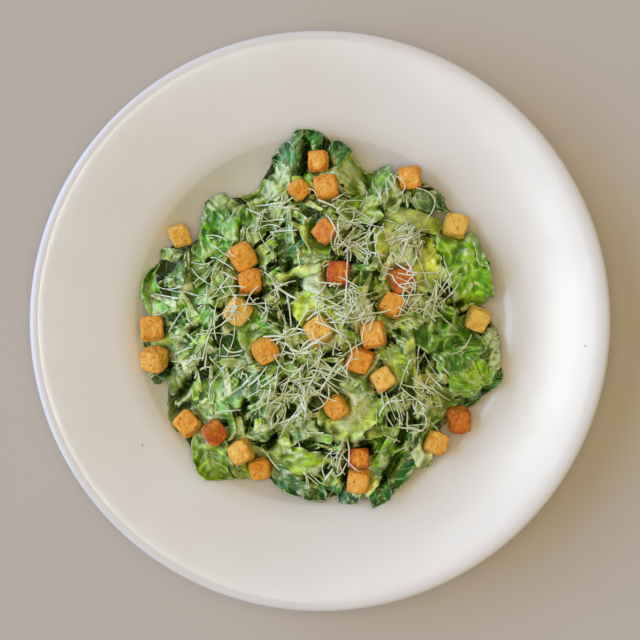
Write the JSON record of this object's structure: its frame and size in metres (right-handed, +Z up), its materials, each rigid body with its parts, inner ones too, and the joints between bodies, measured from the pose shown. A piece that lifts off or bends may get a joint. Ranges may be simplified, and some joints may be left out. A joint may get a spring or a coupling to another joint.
{
  "type": "caesar salad on a plate",
  "caption": "Caesar salad of dressed romaine, toasted croutons and shredded hard cheese, heaped on its own wide-rimmed round plate.",
  "frame": {"origin": "middle of the plate's foot, on the surface that it stands on", "axes": "+Z up through the plate's middle, +X to the right and +Y away from the diner"},
  "size_m": [0.305, 0.305, 0.0629],
  "materials": {
    "glaze": "glossy warm white glaze",
    "romaine": "moist leaves with a thin whitish dressing",
    "toast": "dry golden toasted bread with herb specks",
    "cheese": "soft pale shreds"
  },
  "bodies": {
    "root": {"plate": "glaze", "lettuce": "romaine", "crouton_01": "toast", "crouton_02": "toast", "crouton_03": "toast", "crouton_04": "toast", "crouton_05": "toast", "crouton_06": "toast", "crouton_07": "toast", "crouton_08": "toast", "crouton_09": "toast", "crouton_10": "toast", "crouton_11": "toast", "crouton_12": "toast", "crouton_13": "toast", "crouton_14": "toast", "crouton_15": "toast", "crouton_16": "toast", "crouton_17": "toast", "crouton_18": "toast", "crouton_19": "toast", "crouton_20": "toast", "crouton_21": "toast", "crouton_22": "toast", "crouton_23": "toast", "crouton_24": "toast", "crouton_25": "toast", "crouton_26": "toast", "crouton_27": "toast", "crouton_28": "toast", "crouton_29": "toast", "crouton_30": "toast"}
  },
  "joints": []
}
